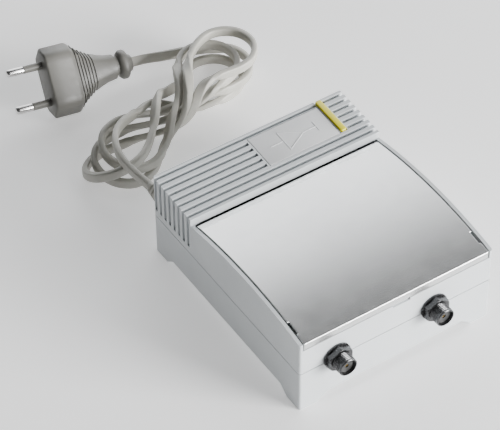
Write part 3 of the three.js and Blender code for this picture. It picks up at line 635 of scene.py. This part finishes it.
# %% Ribs and hinge ears under the panel
RIB_WIDE, RIB_ROOT, RIB_FOOT = 1.2, 1.2, 2.6
RIB_BACK_Y, RIB_FRONT_Y = 20, -44
start_angle = math.asin((RIB_BACK_Y - crown_y) / crown_radius)
stop_angle = math.asin((RIB_FRONT_Y - crown_y) / crown_radius)
for x in (-30.0, -0.6, 28.8):
    rib = bmesh.new()
    corners = [(x + dx, *on_crown(start_angle, drop))
               for dx, drop in ((0, RIB_ROOT), (RIB_WIDE, RIB_ROOT), (RIB_WIDE, RIB_FOOT), (0, RIB_FOOT))]
    rib_face = rib.faces.new([rib.verts.new(corner) for corner in corners])
    bmesh.ops.spin(rib, geom=[rib_face], cent=crown_axis, axis=(1, 0, 0), angle=start_angle - stop_angle,
                   steps=24)
    bmesh.ops.recalc_face_normals(rib, faces=rib.faces)
    add_to(cover_shape, rib)
for x in (-COVER_HALF + 1.5, COVER_HALF - 1.5):
    ear = turned([(1.12, -1.5), (2.1, -1.5), (2.1, 1.5), (1.12, 1.5), (1.12, -1.5)], steps=32)
    swing(ear, QUARTER_TURN, "Y")
    move(ear, (x, HINGE_Y, HINGE_Z))
    add_to(cover_shape, ear)
cover_silver = make_finish("cover_silver", (0.70, 0.705, 0.70), (0.66, 0.665, 0.665), rough=(0.2, 0.26),
                           metal=0.85, drift=30, grain=3200, lift=0.003)
cover = finish_piece(cover_shape, "crowned_cover", "cover", cover_silver, sharp=30,
                     bevel=COVER_SOFTNESS, segments=3, closed=True)
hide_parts("cover_panel")

# %% [markdown]
# ## Plate and indicator bar
# A pale plate fills the middle of the ribbed deck. It carries a shallow raised drawing: a generic amplifier
# triangle on its signal line. Beside it a clear yellow bar lights when the booster is powered.

# %% Plate with its raised drawing
plate_low, plate_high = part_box("name_plate")
plate_left, plate_right = plate_low.x / MM, plate_high.x / MM
plate_front, plate_back = plate_low.y / MM - STEP_Y, plate_high.y / MM - STEP_Y
plate_shape = slab(plate_left, plate_right, plate_front, plate_back, -1.0, 0.02, corner=0.5, edge=0.18)


def raised_line(start, end, wide=0.55, tall=0.16):
    start, end = Vector(start), Vector(end)
    length = (end - start).length
    line = slab(-wide / 2, length + wide / 2, -wide / 2, wide / 2, -0.2, tall, corner=wide * 0.45, edge=0.1)
    swing(line, math.atan2(end.y - start.y, end.x - start.x), "Z")
    move(line, (start.x, start.y, 0))
    return line


middle = (plate_front + plate_back) / 2
for start, end in (((4, middle), (11, middle)), ((11, middle - 6), (11, middle + 6)),
                   ((11, middle + 6), (22, middle)), ((11, middle - 6), (22, middle)),
                   ((22, middle), (29, middle)), ((29, middle - 3), (29, middle + 3))):
    add_to(plate_shape, raised_line(start, end))
pale_plastic = make_finish("pale_plastic", grey(0.66, -0.01), grey(0.61, -0.01), rough=(0.38, 0.48), drift=60,
                           grain=3000, lift=0.01)
plate = finish_piece(on_deck(plate_shape), "deck_plate", "housing", pale_plastic, sharp=40)
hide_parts("name_plate")

# %% Indicator bar
BAR = (36.9, 40.1, 41.6, 63.9)
bar_shape = slab(BAR[0], BAR[1], BAR[2] - STEP_Y, BAR[3] - STEP_Y, -1.0, 0.85, corner=1.1, edge=0.45)
on_deck(bar_shape)
stem = slab(BAR[0] + 0.9, BAR[1] - 0.9, 50.4, 53.6, 34.0, 46.2)
add_to(bar_shape, stem)
yellow_plastic = make_finish("yellow_plastic", (0.74, 0.66, 0.004), (0.66, 0.58, 0.003), rough=(0.3, 0.4),
                             drift=120, grain=2500, lift=0.006, coat=0.15)
bar = finish_piece(bar_shape, "yellow_light_bar", "housing", yellow_plastic, sharp=40)
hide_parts("indicator_bar")

# %% [markdown]
# ## The coaxial sockets
# Each socket is a turned brass barrel with a fine thread, plated dark, held in the wall by a hexagon nut
# and a washer. Its end is open: a grey insulating disc sits a little way in, with a small hole in its
# middle for the cable's centre wire. The disc's colour is darkened almost to black, which paints in the
# shade of the recess it sits in. The thread is one small tooth, spun round the axis and moved on by the
# pitch each turn.

# %% Socket pieces
SOCKET_Z = 25
SOCKET_END_Y = -64.4
WALL_FRONT_Y = -55.0
THREAD_PITCH = 0.79
BARREL_RADIUS = 4.76
ROOT_RADIUS = 4.52
THREAD_STEPS = 28
THREAD_START = 0.3
NUT_COLLAR = 0.6
NUT_CHAMFER = 0.9


def along_y(bm, x, y):
    swing(bm, QUARTER_TURN, "X")
    move(bm, (x, y, SOCKET_Z))
    return bm


def thread(length):
    bm = bmesh.new()
    root, crest = ROOT_RADIUS - 0.1, BARREL_RADIUS - 0.02
    tooth = [(root, 0.0), (crest, 0.27), (crest, 0.37), (root, 0.64)]
    verts = [bm.verts.new((radius, 0, z)) for radius, z in tooth]
    face = bm.faces.new(verts)
    turns = (length - 0.7) / THREAD_PITCH
    steps = round(turns * THREAD_STEPS)
    bmesh.ops.spin(bm, geom=[face], cent=(0, 0, 0), axis=(0, 0, 1), dvec=(0, 0, THREAD_PITCH / THREAD_STEPS),
                   angle=math.tau * steps / THREAD_STEPS, steps=steps)
    bmesh.ops.recalc_face_normals(bm, faces=bm.faces)
    return bm


def barrel(length):
    profile = [(3.75, length - 3.4), (3.75, length - 0.35), (3.95, length), (4.3, length),
               (4.62, length - 0.3), (4.62, length - 0.9), (ROOT_RADIUS, length - 1.1),
               (ROOT_RADIUS, -8.0), (3.75, -8.0),
               (3.75, length - 3.4)]
    bm = turned(profile, steps=40)
    ridge = thread(length - 1.3)
    move(ridge, (0, 0, THREAD_START))
    return add_to(bm, ridge)


def hexagon_nut(flats, low, high, bore):
    bm = bmesh.new()
    bmesh.ops.create_circle(bm, cap_ends=True, segments=6, radius=flats / math.sqrt(3))
    move(bm, (0, 0, low))
    bmesh.ops.inset_region(bm, faces=bm.faces[:], thickness=flats / 2 - bore - NUT_COLLAR)
    grown = bmesh.ops.extrude_face_region(bm, geom=bm.faces[:])["geom"]
    raised = [g for g in grown if isinstance(g, bmesh.types.BMVert)]
    bmesh.ops.translate(bm, verts=raised, vec=(0, 0, high - low))
    corners = [v for v in bm.verts if math.hypot(v.co.x, v.co.y) > flats / 2 and v.co.z > high - 0.01]
    bmesh.ops.bevel(bm, geom=corners, offset=NUT_CHAMFER, segments=1, profile=0.5, affect="VERTICES",
                    material=-1)
    return bm


dark_nickel = make_finish("dark_nickel", (0.085, 0.085, 0.087), (0.045, 0.045, 0.047), rough=(0.2, 0.34),
                          metal=0.9, drift=140, grain=3200, lift=0.008)
# The insulator's own grey is darkened almost to black here: painted shade for the recess in the barrel's end.
grey_insulator = make_finish("grey_insulator", grey(0.035), grey(0.022), rough=(0.35, 0.5), drift=200,
                             grain=2500, lift=0.02)
for port in ("input", "output"):
    low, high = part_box(f"{port}_socket_body")
    x = (low.x + high.x) / 2 / MM
    length = WALL_FRONT_Y - SOCKET_END_Y
    body = finish_piece(along_y(barrel(length), x, WALL_FRONT_Y), f"{port}_threaded_barrel", "housing",
                        dark_nickel, sharp=30)
    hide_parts(f"{port}_socket_body")
    nut = along_y(hexagon_nut(11.6, -0.2, 3.0, 5.2), x, WALL_FRONT_Y - 1.1)
    nut_piece = finish_piece(nut, f"{port}_hexagon_nut", "housing", dark_nickel, sharp=30,
                             bevel=0.12)
    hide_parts(f"{port}_socket_nut")

# %% [markdown]
# ## Pieces whose shape is already right
# The two shells, the parts inside the box, the screws and the pins of the hinge keep their shape from the
# frame and get their finish here, by the name of the material slot that each of them carries in the frame.

# %% Finishes for the pieces inside
inner_finishes = {
    "silver_plastic": silver_plastic,
    "cover_silver": cover_silver,
    "pale_plastic": pale_plastic,
    "yellow_plastic": yellow_plastic,
    "dark_nickel": dark_nickel,
    "grey_insulator": grey_insulator,
    "cord_grey": cord_grey,
    "plug_grey": plug_grey,
    "nickel_pin": nickel_pin,
    "brass": make_finish("brass", (0.60, 0.42, 0.14), (0.50, 0.34, 0.11), rough=(0.25, 0.4), metal=0.95),
    "board": make_finish("board", (0.03, 0.16, 0.055), (0.02, 0.11, 0.04),
                         rough=(0.35, 0.5), drift=250, coat=0.3),
    "tin_plate": make_finish("tin_plate", grey(0.5), grey(0.42), rough=(0.28, 0.45), metal=0.85, drift=120),
    "core_steel": make_finish("core_steel", grey(0.17), grey(0.12), rough=(0.45, 0.65), metal=0.6, grain=900,
                              stretch=(1, 1, 8)),
    "coil_tape": make_finish("coil_tape", (0.62, 0.40, 0.06), (0.54, 0.33, 0.05),
                             rough=(0.35, 0.5), drift=150),
    "black_plastic": make_finish("black_plastic", grey(0.022), grey(0.014), rough=(0.4, 0.6), drift=150),
    "zinc_steel": make_finish("zinc_steel", grey(0.42), grey(0.34), rough=(0.3, 0.45), metal=0.9, drift=200),
    "lamp_yellow": make_finish("lamp_yellow", (0.66, 0.52, 0.05), (0.6, 0.45, 0.04),
                               rough=(0.15, 0.25), coat=0.5),
    "fuse_glass": make_finish("fuse_glass", grey(0.62), grey(0.55), rough=(0.06, 0.14), drift=200),
    "adjuster_white": make_finish("adjuster_white", (0.72, 0.70, 0.64), (0.66, 0.64, 0.58), rough=(0.4, 0.5)),
}
for node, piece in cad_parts.items():
    if piece.hide_render:
        continue
    slot = piece.material_slots[0].material.name
    piece.material_slots[0].link = "OBJECT"
    piece.material_slots[0].material = inner_finishes[slot]
    print(node, "takes the finish of", slot)

# %% [markdown]
# ## Floor and light
# The booster stands on a plain pale floor that reaches past everything the camera sees, and shines a little
# itself, so it stays pale around the object. A large soft light comes in low from the front right, so the
# front wall is the brightest side and the left wall stays in half shade. A second, weaker one stands higher
# and fills the tops of the ribs. The room glows low at the back, which gives the glossy cover its pale far
# edge, and is darker above, which shades the cover down towards its front.

# %% Floor
floor_shape = bmesh.new()
bmesh.ops.create_grid(floor_shape, x_segments=8, y_segments=8, size=3000)
floor_white = make_finish("floor_white", grey(0.86), grey(0.84), rough=(0.6, 0.7), drift=6, grain=400,
                          lift=0.01)
bmesh.ops.scale(floor_shape, vec=(MM, MM, MM), verts=floor_shape.verts)
floor_mesh = bpy.data.meshes.new("floor")
floor_shape.to_mesh(floor_mesh)
floor_shape.free()
floor = bpy.data.objects.new("floor", floor_mesh)
floor_mesh.materials.append(floor_white)
floor_shader = floor_white.node_tree.nodes["Principled BSDF"]
floor_shader.inputs["Emission Color"].default_value = (1, 1, 1, 1)
floor_shader.inputs["Emission Strength"].default_value = 0.5
scene.collection.objects.link(floor)
print("floor laid,", len(floor_mesh.polygons), "faces")


# %% Lights
LIGHT_AIM = Vector((0, 0, 20)) * MM


def soft_light(name, azimuth, elevation, distance, size, power):
    data = bpy.data.lights.new(name, "AREA")
    data.size = size
    data.energy = power
    lamp = bpy.data.objects.new(name, data)
    a, e = math.radians(azimuth), math.radians(elevation)
    away = Vector((math.sin(a) * math.cos(e), -math.cos(a) * math.cos(e), math.sin(e)))
    facing = away.to_track_quat("Z", "Y").to_matrix().to_4x4()
    lamp.matrix_world = Matrix.Translation(LIGHT_AIM + away * distance) @ facing
    scene.collection.objects.link(lamp)
    print(name, "light at", [round(v, 2) for v in lamp.location])


soft_light("key", 34, 13, 1.7, 0.8, 100)
soft_light("overhead", 45, 45, 2.0, 0.8, 10)

# %% The room's own glow
world = bpy.data.worlds.new("room")
world.use_nodes = True
room, wires = world.node_tree.nodes, world.node_tree.links
sky = room["Background"]
sky.inputs["Color"].default_value = (0.96, 0.98, 1.0, 1)
direction = room.new("ShaderNodeTexCoord")
toward = room.new("ShaderNodeVectorMath")
toward.operation = "DOT_PRODUCT"
GLOW_AZIMUTH, GLOW_ELEVATION = math.radians(147), math.radians(8)
GLOW_LEVEL = math.cos(GLOW_ELEVATION)
toward.inputs[1].default_value = (math.sin(GLOW_AZIMUTH) * GLOW_LEVEL, -math.cos(GLOW_AZIMUTH) * GLOW_LEVEL,
                                  math.sin(GLOW_ELEVATION))
strength = room.new("ShaderNodeMapRange")
strength.interpolation_type = "SMOOTHSTEP"
for socket, value in (("From Min", 0.53), ("From Max", 1.0), ("To Min", 0.08), ("To Max", 3.7)):
    strength.inputs[socket].default_value = value
wires.new(direction.outputs["Object"], toward.inputs[0])
wires.new(toward.outputs["Value"], strength.inputs["Value"])
wires.new(strength.outputs["Result"], sky.inputs["Strength"])
scene.world = world
print("glow is brightest at azimuth", round(math.degrees(GLOW_AZIMUTH)), "and elevation",
      round(math.degrees(GLOW_ELEVATION)))
